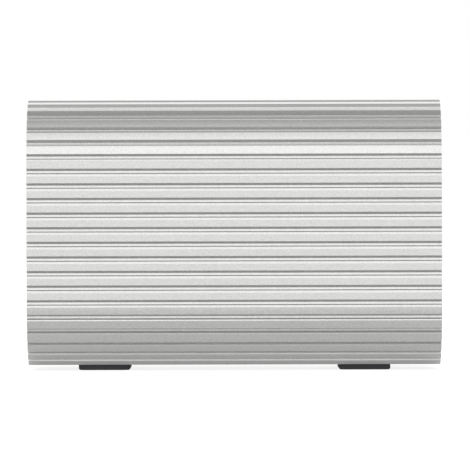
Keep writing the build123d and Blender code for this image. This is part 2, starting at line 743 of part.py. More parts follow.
with BuildPart() as shroud_shape:
    with BuildSketch(Plane.XY.offset(SHROUD_BACK)):
        RectangleRounded(*INLET_SHROUD)
    extrude(amount=SHROUD_FRONT - SHROUD_BACK)
    with BuildSketch(Plane.XY.offset(-PANEL_T - INLET_FLANGE_T)):
        RectangleRounded(*INLET_FLANGE)
    extrude(amount=INLET_FLANGE_T)
    with BuildSketch(Plane.XY.offset(CAVITY_FLOOR)):
        RectangleRounded(*INLET_CAVITY)
    extrude(amount=SHROUD_FRONT - CAVITY_FLOOR, mode=Mode.SUBTRACT)
    chamfer(shroud_shape.faces().sort_by(Axis.Z)[-1].edges(), 0.5)
    with BuildSketch(Plane.XY.offset(SHROUD_BACK)):
        with Locations(*[(across, 0) for across in PINS.values()]):
            Circle(COLLAR_R + 0.05)
    extrude(amount=CAVITY_FLOOR - SHROUD_BACK, mode=Mode.SUBTRACT)
    with BuildSketch(Plane.XY.offset(-PANEL_T)):
        with Locations(*INLET_SCREWS):
            Circle(SCREW_HOLE_R)
    extrude(amount=-INLET_FLANGE_T, mode=Mode.SUBTRACT)

with BuildPart() as pin_shape:
    with BuildSketch(Plane.XY.offset(SHROUD_BACK)):
        Circle(COLLAR_R)
    extrude(amount=CAVITY_FLOOR - SHROUD_BACK)
    with BuildSketch(Plane.XY.offset(CAVITY_FLOOR)):
        Circle(PIN_R)
    extrude(amount=PIN_FRONT - CAVITY_FLOOR)
    fillet(pin_shape.faces().sort_by(Axis.Z)[-1].edges(), 1.2)
    with BuildSketch(Plane.XY.offset(PIN_TAIL)):
        Circle(PIN_TAIL_R)
    extrude(amount=SHROUD_BACK - PIN_TAIL)

with BuildPart() as inlet_shroud:
    with Locations(INLET_PLACE):
        add(shroud_shape.part)
write(inlet_shroud, "inlet_shroud")

for name, across in PINS.items():
    with BuildPart() as pin:
        with Locations(INLET_PLACE * Location((across, 0, 0))):
            add(pin_shape.part)
    write(pin, f"inlet_{name}_pin")

inlet_screw = pan_screw(M3_SHANK_R, 7.0, M3_HEAD_R, M3_HEAD_H)
with BuildPart() as inlet_screws:
    with Locations(*[INLET_PLACE * Location((x, y, 0)) for x, y in INLET_SCREWS]):
        add(inlet_screw)
write(inlet_screws, "inlet_screws")

# ---------------------------------------------------------------- chassis ground screw
WASHER_R = 4.6
WASHER_T = 0.8
with BuildPart() as ground_washer:
    with BuildSketch(REAR):
        with Locations(GROUND_AT):
            Circle(WASHER_R)
            Circle(GROUND_SHANK_R + 0.15, mode=Mode.SUBTRACT)
    extrude(amount=WASHER_T)
write(ground_washer, "ground_washer")

with BuildPart() as ground_screw:
    with Locations(REAR * Location((*GROUND_AT, WASHER_T))):
        add(pan_screw(GROUND_SHANK_R, 8.0, 4.0, 2.4))
write(ground_screw, "ground_screw")

# ---------------------------------------------------------------- circuit boards
BOARD_BACK_X = -66.0
BOARD_FRONT_X = 44.0
BOARD_WIDTH = CAVITY_WIDTH - 1.3
with BuildPart() as main_board:
    with BuildSketch(Plane.XY.offset(BOARD_Z)):
        with Locations(((BOARD_BACK_X + BOARD_FRONT_X) / 2, 0)):
            Rectangle(BOARD_FRONT_X - BOARD_BACK_X, BOARD_WIDTH)
    extrude(amount=BOARD_T)
write(main_board, "main_board")

CARD_X = 16.0
CARD_T = 1.6
CARD = (48.0, 36.0)
CARD_HEADER_H = 2.5
with BuildPart() as control_board:
    with BuildSketch(Plane.YZ.offset(CARD_X)):
        with Locations((0, BOARD_TOP + CARD_HEADER_H + CARD[1] / 2)):
            RectangleRounded(*CARD, 1.0)
    extrude(amount=CARD_T)
write(control_board, "control_board")

CHIP = (10.0, 7.5, 2.2)
CHIP_PLACES = ((-18.0, 53.0), (-5.0, 53.0), (-5.0, 34.0), (-18.0, 34.0))
with BuildPart() as control_chips:
    with BuildSketch(Plane.YZ.offset(CARD_X + CARD_T)):
        with Locations(*CHIP_PLACES):
            Rectangle(CHIP[0], CHIP[1])
    extrude(amount=CHIP[2])
write(control_chips, "control_chips")

LAMP_HEADER = (41.0, 25.8)
FAN_HEADER = (-47.5, 0.0)
HEADER_H = 6.0
with BuildPart() as board_headers:
    with BuildSketch(Plane.XY.offset(BOARD_TOP)):
        with Locations((CARD_X + CARD_T / 2, 0)):
            Rectangle(4.0, 30.0)
    extrude(amount=CARD_HEADER_H)
    with BuildSketch(Plane.XY.offset(BOARD_TOP)):
        with Locations(LAMP_HEADER, FAN_HEADER):
            Rectangle(5.0, 5.6)
    extrude(amount=HEADER_H)
write(board_headers, "board_headers")

# ---------------------------------------------------------------- fuses and capacitors
FUSE_X = -52.0
FUSE_Y = 23.0
HOLDER = (8.0, 21.0, 8.0)
FUSE_BODY = (4.6, 19.0, 9.0)
FUSE_BLADE = (0.8, 4.6)
with BuildPart() as fuse_holders:
    with BuildSketch(Plane.XY.offset(BOARD_TOP)):
        with Locations((FUSE_X, -FUSE_Y), (FUSE_X, FUSE_Y)):
            Rectangle(HOLDER[0], HOLDER[1])
    extrude(amount=HOLDER[2])
    with BuildSketch(Plane.XY.offset(BOARD_TOP + 2.0)):
        with Locations((FUSE_X, -FUSE_Y), (FUSE_X, FUSE_Y)):
            Rectangle(2.0, 17.0)
    extrude(amount=HOLDER[2], mode=Mode.SUBTRACT)
write(fuse_holders, "fuse_holders")

with BuildPart() as fuses:
    with BuildSketch(Plane.XY.offset(BOARD_TOP + HOLDER[2])):
        with Locations((FUSE_X, -FUSE_Y), (FUSE_X, FUSE_Y)):
            Rectangle(FUSE_BODY[0], FUSE_BODY[1])
    extrude(amount=FUSE_BODY[2])
    fillet(fuses.edges().filter_by(Axis.Z), 0.8)
    with BuildSketch(Plane.XY.offset(BOARD_TOP + HOLDER[2])):
        for side in (-1, 1):
            with Locations((FUSE_X, side * FUSE_Y - 5.6), (FUSE_X, side * FUSE_Y + 5.6)):
                Rectangle(*FUSE_BLADE)
    extrude(amount=2.5 - HOLDER[2])
write(fuses, "fuses")


def can_capacitor(radius, height):
    """An upright electrolytic can with a rolled groove near its foot and rounded rims."""
    with BuildPart() as can:
        with BuildSketch():
            Circle(radius)
        extrude(amount=height)
        fillet(can.faces().sort_by(Axis.Z)[-1].edges(), 0.8)
        fillet(can.faces().sort_by(Axis.Z)[0].edges(), 0.5)
        with BuildSketch(Plane.XZ):
            with Locations((radius + 0.3, 3.0)):
                Circle(1.0)
        revolve(axis=Axis.Z, mode=Mode.SUBTRACT)
    return can.part


INPUT_CAP_R = 6.25
INPUT_CAP_X = -37.0
INPUT_CAP_YS = (-22.5, -7.5, 7.5, 22.5)
with BuildPart() as input_capacitors:
    with Locations(*[(INPUT_CAP_X, y, BOARD_TOP) for y in INPUT_CAP_YS]):
        add(can_capacitor(INPUT_CAP_R, 25.0))
write(input_capacitors, "input_capacitors")

with BuildPart() as output_capacitor:
    with Locations((29.5, 12.0, BOARD_TOP)):
        add(can_capacitor(10.0, 40.0))
write(output_capacitor, "output_capacitor")

# ---------------------------------------------------------------- transformer
# Local x and y are those of the inverter, and z = 0 is the top of the circuit board.
TRANSFORMER_PLACE = Location((-8.0, 0, BOARD_TOP))
CORE = (42.0, 16.0, 34.0)
CORE_LIFT = 2.0
LEG = 12.0
WINDOW = (9.0, 22.0)
WINDOW_Z = CORE_LIFT + CORE[2] / 2
BOBBIN_FLANGE = (2 * WINDOW[0] + LEG - 0.6, 34.0)
BOBBIN_T = 1.2
BOBBIN_HALF = WINDOW[1] / 2 - 0.2

with BuildPart() as core_shape:
    with BuildSketch(Plane.XZ.offset(-CORE[1] / 2)):
        with Locations((0, WINDOW_Z)):
            Rectangle(CORE[0], CORE[2])
        for side in (-1, 1):
            with Locations((side * (LEG + WINDOW[0]) / 2, WINDOW_Z)):
                Rectangle(*WINDOW, mode=Mode.SUBTRACT)
    extrude(amount=CORE[1])

with BuildPart() as bobbin_shape:
    with BuildSketch(Plane.XY.offset(WINDOW_Z - BOBBIN_HALF)):
        RectangleRounded(*BOBBIN_FLANGE, 2.0)
    extrude(amount=BOBBIN_T)
    with BuildSketch(Plane.XY.offset(WINDOW_Z + BOBBIN_HALF)):
        RectangleRounded(*BOBBIN_FLANGE, 2.0)
    extrude(amount=-BOBBIN_T)
    with BuildSketch(Plane.XY.offset(WINDOW_Z - BOBBIN_HALF)):
        Rectangle(LEG + 0.6 + 2 * BOBBIN_T, CORE[1] + 0.6 + 2 * BOBBIN_T)
    extrude(amount=2 * BOBBIN_HALF)
    with BuildSketch(Plane.XY.offset(WINDOW_Z - BOBBIN_HALF)):
        Rectangle(LEG + 0.6, CORE[1] + 0.6)
    extrude(amount=2 * BOBBIN_HALF, mode=Mode.SUBTRACT)
    with BuildSketch():
        for side in (-1, 1):
            with Locations((0, side * (BOBBIN_FLANGE[1] / 2 - 2.5))):
                Rectangle(26.0, 5.0)
    extrude(amount=WINDOW_Z - BOBBIN_HALF)

with BuildPart() as winding_shape:
    with BuildSketch(Plane.XY.offset(WINDOW_Z - BOBBIN_HALF + BOBBIN_T)):
        RectangleRounded(27.6, 31.6, 6.0)
        Rectangle(LEG + 0.6 + 2 * BOBBIN_T, CORE[1] + 0.6 + 2 * BOBBIN_T, mode=Mode.SUBTRACT)
    extrude(amount=2 * BOBBIN_HALF - 2 * BOBBIN_T)

TRANSFORMER = {
    "transformer_core": core_shape,
    "transformer_bobbin": bobbin_shape,
    "transformer_winding": winding_shape,
}
for name, shape in TRANSFORMER.items():
    with BuildPart() as transformer_piece:
        with Locations(TRANSFORMER_PLACE):
            add(shape.part)
    write(transformer_piece, name)

# ---------------------------------------------------------------- output choke
CHOKE_PLACE = Plane(origin=(27.5, -15.0, BOARD_TOP + 12.6), z_dir=(1, 0, 0))
CHOKE_R = 11.2
CHOKE_HOLE_R = 6.0
CHOKE_T = 8.0
COIL_T = 1.2
with BuildPart() as choke_core:
    with BuildSketch(CHOKE_PLACE.offset(-CHOKE_T / 2)):
        Circle(CHOKE_R)
        Circle(CHOKE_HOLE_R, mode=Mode.SUBTRACT)
    extrude(amount=CHOKE_T)
write(choke_core, "choke_core")

with BuildPart() as choke_winding:
    with BuildSketch(CHOKE_PLACE.offset(-CHOKE_T / 2 - COIL_T)):
        Circle(CHOKE_R + COIL_T)
        Circle(CHOKE_HOLE_R - COIL_T, mode=Mode.SUBTRACT)
        Rectangle(2.5, 2 * CHOKE_R + 2 * COIL_T + 1, mode=Mode.SUBTRACT)
    extrude(amount=CHOKE_T + 2 * COIL_T)
    with BuildSketch(CHOKE_PLACE.offset(-CHOKE_T / 2)):
        Circle(CHOKE_R)
        Circle(CHOKE_HOLE_R, mode=Mode.SUBTRACT)
    extrude(amount=CHOKE_T, mode=Mode.SUBTRACT)
write(choke_winding, "choke_winding")

# ---------------------------------------------------------------- buzzer
with BuildPart() as buzzer:
    with BuildSketch(Plane.XY.offset(BOARD_TOP)):
        with Locations((-4.0, 24.5)):
            Circle(6.0)
    extrude(amount=9.0)
    fillet(buzzer.faces().sort_by(Axis.Z)[-1].edges(), 0.6)
    with BuildSketch(Plane.XY.offset(BOARD_TOP + 9.0)):
        with Locations((-4.0, 24.5)):
            Circle(1.2)
    extrude(amount=-3.0, mode=Mode.SUBTRACT)
write(buzzer, "buzzer")

# ---------------------------------------------------------------- power transistors
# These sections are drawn at the +Y wall: local x is the distance in from the wall, local y is the height.
WALL_SECTION = Plane(origin=(0, WALL_Y, 0), x_dir=(0, -1, 0), z_dir=(-1, 0, 0))
TRANSISTOR_XS = (-28.0, -14.0, 10.0, 24.0)
PAD_T = 0.3
PAD = (12.0, 17.0)
CASE_WIDTH = 10.2
CASE_Z = 27.5
CASE_HEIGHT = 9.2
CASE_OUT = 4.7  # its front face, measured from the wall
TAB_OUT = 1.6
TAB_TOP = 43.0
CLIP_WIDTH = 7.0
CLIP_T = 0.6


LEG_PITCH = 2.54
LEG_WIDTH = 0.8
LEG_OUTLINE = [
    (2.3, CASE_Z),
    (2.9, CASE_Z),
    (2.9, 26.5),
    (4.7, 25.3),
    (4.7, BOARD_TOP),
    (4.1, BOARD_TOP),
    (4.1, 25.0),
    (2.3, 26.2),
]
CLIP_LINE = [(2.9, 46.6), (2.9, 43.9), (5.6, 43.3), (5.05, 36.0), (7.2, 31.5)]


def write_on_both_walls(piece, name):
    """Writes one solid holding the +Y wall's copies of a piece and their mirror images."""
    with BuildPart() as row:
        with Locations(*[(x, 0, 0) for x in TRANSISTOR_XS]):
            add(piece.part)
        mirror(about=Plane.XZ)
    write(row, name)


with BuildPart() as transistor:
    with BuildSketch(WALL_SECTION.offset(-CASE_WIDTH / 2)):
        with Locations(((PAD_T + CASE_OUT) / 2, CASE_Z + CASE_HEIGHT / 2)):
            Rectangle(CASE_OUT - PAD_T, CASE_HEIGHT)
        with Locations(((PAD_T + TAB_OUT) / 2, (CASE_Z + TAB_TOP) / 2)):
            Rectangle(TAB_OUT - PAD_T, TAB_TOP - CASE_Z)
    extrude(amount=CASE_WIDTH)
    for step in (-1, 0, 1):
        with BuildSketch(WALL_SECTION.offset(step * LEG_PITCH - LEG_WIDTH / 2)):
            with BuildLine():
                Polyline(*LEG_OUTLINE, close=True)
            make_face()
        extrude(amount=LEG_WIDTH)
write_on_both_walls(transistor, "power_transistors")

with BuildPart() as pad:
    with BuildSketch(WALL_SECTION.offset(-PAD[0] / 2)):
        with Locations((PAD_T / 2, (CASE_Z + TAB_TOP) / 2)):
            Rectangle(PAD_T, PAD[1])
    extrude(amount=PAD[0])
write_on_both_walls(pad, "thermal_pads")

with BuildPart() as clip:
    with BuildSketch(WALL_SECTION.offset(-CLIP_WIDTH / 2)):
        with BuildLine():
            Polyline(*CLIP_LINE)
        trace(line_width=CLIP_T)
    extrude(amount=CLIP_WIDTH)
write_on_both_walls(clip, "transistor_clips")


# ---------------------------------------------------------------- leads
def lead(points, bend, radius):
    """An insulated lead along a bent path, which starts at right angles to its first face."""
    with BuildPart() as cable:
        with BuildLine():
            path = FilletPolyline(*points, radius=bend)
        with BuildSketch(Plane(origin=path @ 0, z_dir=path % 0)):
            Circle(radius)
        sweep(path=path)
    return cable.part


DC_LEAD_R = 2.2
DC_LEAD_X = -47.5
TAIL_X = -PANEL_X - PIN_TAIL
for name, across in PINS.items():
    with BuildPart() as dc_lead:
        points = [
            (TAIL_X, -across, INLET_Z),
            (DC_LEAD_X, -across, INLET_Z),
            (DC_LEAD_X, -across, BOARD_TOP),
        ]
        add(lead(points, 5.0, DC_LEAD_R))
    write(dc_lead, f"{name}_lead")

AC_LEAD_R = 1.2
AC_LEAD_X = 38.0
BRIDGE_X = PANEL_X + TAB_BACK
LOWER_Z = OUTLETS["lower"][1]
AC_LEADS = {
    "line_lead": (OUTLET_X + LINE_AT[0], LOWER_Z + LINE_AT[1]),
    "neutral_lead": (OUTLET_X + NEUTRAL_AT[0], LOWER_Z + NEUTRAL_AT[1]),
    "earth_lead": (OUTLET_X + EARTH_AT[0], LOWER_Z + EARTH_AT[1] + 7.0),
}
for name, (y, z) in AC_LEADS.items():
    with BuildPart() as ac_lead:
        add(lead([(AC_LEAD_X, y, BOARD_TOP), (AC_LEAD_X, y, z), (BRIDGE_X, y, z)], 6.0, AC_LEAD_R))
    write(ac_lead, name)

SIGNAL_R = 0.55
SWITCH_LEAD_R = 1.0
SPADE_X = PANEL_X - SWITCH_DEPTH - 8.0
LAMP_X = PANEL_X + LAMP_BOARD_BACK
LAMP_LEAD_Z = 56.0
FAN_LEAD_Z = 66.5
with BuildPart() as signal_leads:
    for up, x in ((SPADES_UP[0], 41.0), (SPADES_UP[2], 37.0)):
        z = SWITCH_Z + up
        points = [(SPADE_X, CONTROL_X, z), (x, CONTROL_X, z), (x, CONTROL_X, BOARD_TOP)]
        add(lead(points, 5.0, SWITCH_LEAD_R))
    for step in (-1.3, 0, 1.3):
        x, y = LAMP_HEADER
        y = y + step
        points = [(LAMP_X, y, LAMP_LEAD_Z), (x, y, LAMP_LEAD_Z), (x, y, BOARD_TOP + HEADER_H)]
        add(lead(points, 8.0, SIGNAL_R))
    for step in (-1.0, 1.0):
        x, y = FAN_HEADER
        y = y + step
        points = [(-PANEL_X - FAN_BACK, y, FAN_LEAD_Z), (x, y, FAN_LEAD_Z), (x, y, BOARD_TOP + HEADER_H)]
        add(lead(points, 6.0, SIGNAL_R))
write(signal_leads, "signal_leads")
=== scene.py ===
import json
import math
import bpy
import bmesh
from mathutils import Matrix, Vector
from mathutils.bvhtree import BVHTree


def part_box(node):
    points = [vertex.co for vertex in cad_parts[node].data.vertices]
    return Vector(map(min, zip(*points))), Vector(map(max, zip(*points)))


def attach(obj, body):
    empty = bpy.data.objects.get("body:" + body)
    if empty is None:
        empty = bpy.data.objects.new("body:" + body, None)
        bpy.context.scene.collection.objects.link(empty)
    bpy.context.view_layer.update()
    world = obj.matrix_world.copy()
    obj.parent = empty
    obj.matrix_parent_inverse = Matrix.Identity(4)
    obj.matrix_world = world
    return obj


# Looks for the portable power inverter. Everything is in metres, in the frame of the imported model:
# +X runs along the extruded body towards the AC outlets, +Z is up and the camera looks along +Y.
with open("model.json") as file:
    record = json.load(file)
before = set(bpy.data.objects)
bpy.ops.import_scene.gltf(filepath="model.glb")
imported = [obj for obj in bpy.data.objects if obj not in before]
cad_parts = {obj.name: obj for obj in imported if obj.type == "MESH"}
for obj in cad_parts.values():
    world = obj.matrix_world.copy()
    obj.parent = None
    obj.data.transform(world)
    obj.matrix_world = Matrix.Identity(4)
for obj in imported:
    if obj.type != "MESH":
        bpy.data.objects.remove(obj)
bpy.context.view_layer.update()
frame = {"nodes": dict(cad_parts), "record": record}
nodes = frame["nodes"]
MM = 0.001

# ---------------------------------------------------------------- camera
# A long-lens view, square on to the -Y side, at mid-height.
BODY_LOW, BODY_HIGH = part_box("housing")
BODY_MID_Z = (BODY_LOW[2] + BODY_HIGH[2]) / 2
CAMERA_DISTANCE = 1.85  # from the near side
PICTURE_WIDTH = 0.1753  # metres across the picture, at the near side
CAMERA_SIDE = 0.28 * MM
CAMERA_DROP = 1.0 * MM
ROLL = math.radians(0.14)
SENSOR = 36.0
CLIP_NEAR, CLIP_FAR = 0.05, 50.0

camera_data = bpy.data.cameras.new("camera")
camera_data.sensor_width = SENSOR
camera_data.lens = SENSOR * CAMERA_DISTANCE / PICTURE_WIDTH
camera_data.clip_start = CLIP_NEAR
camera_data.clip_end = CLIP_FAR
camera = bpy.data.objects.new("camera", camera_data)
camera.location = (CAMERA_SIDE, BODY_LOW[1] - CAMERA_DISTANCE, BODY_MID_Z - CAMERA_DROP)
camera.rotation_euler = (math.pi / 2, ROLL, 0.0)
bpy.context.collection.objects.link(camera)
bpy.context.scene.camera = camera

# ---------------------------------------------------------------- studio
# A pale floor and soft light from all round. The room's light is listed against the height that it comes from, in
# degrees, for the half of the room in front of the object and for the half behind it. The camera doesn't see that
# light: it sees an even white backdrop and a floor brighter than the one that lights the object.
FRONT_LIGHT = [(0, 1.31), (16, 1.29), (32, 1.26), (40, 1.16), (50, 1.0), (60, 0.80), (75, 0.48), (90, 0.18)]
BACK_LIGHT = [(0, 0.4), (15, 0.4), (30, 0.42), (45, 0.5), (60, 0.6), (75, 0.3), (90, 0.18)]
LISTED_TOP = 3.0  # the listed light at which a ramp is full
ROOM_STRENGTH = 4.0  # the radiance of a full ramp
HALVES_BLEND = 0.35  # the halves blend where the direction's Y is within this of 0
FLOOR_SEEN = (0.35, 0.8)  # how much light the floor returns, and its own glow, as the camera sees it
FLOOR_LIGHTING = (0.5, 0.353)  # the same two, as the object is lit by it
FLOOR_REACH = 6.0
BACKDROP_SEEN = 1.0


def node(tree, kind, links=(), **values):
    """Adds a shader node, sets its properties or input values, and links sockets into its inputs."""
    made = tree.nodes.new(kind)
    for key, value in values.items():
        if hasattr(made, key):
            setattr(made, key, value)
        else:
            made.inputs[key.replace("_", " ")].default_value = value
    for socket, name in links:
        tree.links.new(socket, made.inputs[name])
    return made


def grey(level):
    """A grey as a colour with alpha."""
    return (level, level, level, 1.0)


def ramp(tree, source, stops):
    """A colour ramp, straight from stop to stop, from a list of (place, grey) stops."""
    made = node(tree, "ShaderNodeValToRGB", [(source, 0)])
    made.color_ramp.interpolation = "LINEAR"
    elements = made.color_ramp.elements
    while len(elements) > 1:
        elements.remove(elements[-1])
    for number, (place, level) in enumerate(stops):
        element = elements[0] if number == 0 else elements.new(place)
        element.position = place
        element.color = grey(level)
    return made.outputs["Color"]


def by_ray(tree, lighting, seen):
    """One shader that is seen by the camera alone, and lighting for every other ray."""
    is_camera = node(tree, "ShaderNodeLightPath").outputs["Is Camera Ray"]
    return node(tree, "ShaderNodeMixShader", [(is_camera, 0), (lighting, 1), (seen, 2)]).outputs[0]


def build_world():
    """The room's light, by direction."""
    world = bpy.data.worlds.new("studio")
    bpy.context.scene.world = world
    world.use_nodes = True
    tree = world.node_tree
    tree.nodes.clear()
    direction = node(tree, "ShaderNodeTexCoord").outputs["Generated"]
    parts = node(tree, "ShaderNodeSeparateXYZ", [(direction, 0)])
    angle = node(tree, "ShaderNodeMath", [(parts.outputs["Z"], 0)], operation="ARCSINE")
    height = node(tree, "ShaderNodeMath", [(angle.outputs[0], 0)], operation="DIVIDE")
    height.inputs[1].default_value = math.pi / 2
    front, back = [
        ramp(tree, height.outputs[0], [(degrees / 90, listed / LISTED_TOP) for degrees, listed in stops])
        for stops in (FRONT_LIGHT, BACK_LIGHT)
    ]
    side = node(
        tree,
        "ShaderNodeMapRange",
        [(parts.outputs["Y"], "Value")],
        interpolation_type="SMOOTHSTEP",
        From_Min=-HALVES_BLEND,
        From_Max=HALVES_BLEND,
    )
    mixed = node(
        tree, "ShaderNodeMix", [(side.outputs["Result"], "Factor"), (front, "A"), (back, "B")], data_type="RGBA"
    )
    lighting = node(tree, "ShaderNodeBackground", [(mixed.outputs["Result"], "Color")], Strength=ROOM_STRENGTH)
    seen = node(tree, "ShaderNodeBackground", Color=grey(1.0), Strength=BACKDROP_SEEN)
    both = by_ray(tree, lighting.outputs[0], seen.outputs[0])
    node(tree, "ShaderNodeOutputWorld", [(both, "Surface")])


def build_floor():
    """The floor that the object stands on, matte and glowing."""
    mesh = bpy.data.meshes.new("floor")
    bm = bmesh.new()
    corners = [(-1, -1), (1, -1), (1, 1), (-1, 1)]
    bm.faces.new([bm.verts.new((x * FLOOR_REACH, y * FLOOR_REACH, 0.0)) for x, y in corners])
    bm.to_mesh(mesh)
    bm.free()
    floor = bpy.data.objects.new("floor", mesh)
    bpy.context.collection.objects.link(floor)
    material = bpy.data.materials.new("floor")
    material.use_nodes = True
    tree = material.node_tree
    tree.nodes.clear()
    floors = []
    for returned, glow in (FLOOR_LIGHTING, FLOOR_SEEN):
        matte = node(tree, "ShaderNodeBsdfDiffuse", Color=grey(returned))
        light = node(tree, "ShaderNodeEmission", Color=grey(1.0), Strength=glow)
        both = node(tree, "ShaderNodeAddShader", [(matte.outputs[0], 0), (light.outputs[0], 1)])
        floors.append(both.outputs[0])
    node(tree, "ShaderNodeOutputMaterial", [(by_ray(tree, *floors), "Surface")])
    mesh.materials.append(material)


build_world()
build_floor()
bpy.context.scene.view_settings.view_transform = "Standard"


# ---------------------------------------------------------------- materials
FINE_NOISE = {"Detail": 4.0, "Roughness": 0.6}
BROAD_NOISE = {"Scale": 70.0, "Detail": 3.0, "Roughness": 0.55}
GRAIN_LOW, GRAIN_HIGH = 0.3, 0.7  # the span of the fine noise that is used
ROUGH_SPREAD = 0.06
BUMP_UNIT = 0.01 * MM


def surface(
    name,
    colour,
    roughness,
    metallic=0.0,
    *,
    grain,
    bump,
    mottle=0.05,
    speckle=0.04,
    stretch=(1.0, 1.0, 1.0),
    **shader,
):
    """A finish with fine grain. grain is the size of its texture in mm and bump its depth in hundredths of a mm;
    mottle and speckle are how far the colour wanders over centimetres and from grain to grain."""
    material = bpy.data.materials.new(name)
    material.use_nodes = True
    tree = material.node_tree
    tree.nodes.clear()
    place = node(tree, "ShaderNodeTexCoord").outputs["Object"]
    place = node(tree, "ShaderNodeMapping", [(place, "Vector")], Scale=stretch).outputs[0]
    fine = node(tree, "ShaderNodeTexNoise", [(place, "Vector")], Scale=1.0 / (grain * MM), **FINE_NOISE)
    broad = node(tree, "ShaderNodeTexNoise", [(place, "Vector")], **BROAD_NOISE)
    darker, lighter = [tuple(min(1.0, c * k) for c in colour) + (1.0,) for k in (1 - mottle, 1 + mottle)]
    wander = node(
        tree, "ShaderNodeMix", [(broad.outputs["Fac"], "Factor")], data_type="RGBA", A=darker, B=lighter
    )
    dots = ramp(tree, fine.outputs["Fac"], [(GRAIN_LOW, 1 - speckle), (GRAIN_HIGH, 1.0)])
    speckled = node(
        tree,
        "ShaderNodeMix",
        [(wander.outputs["Result"], "A"), (dots, "B")],
        data_type="RGBA",
        blend_type="MULTIPLY",
        Factor=1.0,
    )
    rough = node(
        tree,
        "ShaderNodeMapRange",
        [(fine.outputs["Fac"], "Value")],
        From_Min=GRAIN_LOW,
        From_Max=GRAIN_HIGH,
        To_Min=roughness - ROUGH_SPREAD / 2,
        To_Max=roughness + ROUGH_SPREAD / 2,
    )
    bumped = node(tree, "ShaderNodeBump", [(fine.outputs["Fac"], "Height")], Distance=bump * BUMP_UNIT, Strength=1.0)
    shader_node = node(
        tree,
        "ShaderNodeBsdfPrincipled",
        [
            (speckled.outputs["Result"], "Base Color"),
            (rough.outputs["Result"], "Roughness"),
            (bumped.outputs["Normal"], "Normal"),
        ],
        Metallic=metallic,
        **shader,
    )
    node(tree, "ShaderNodeOutputMaterial", [(shader_node.outputs[0], "Surface")])
    return material


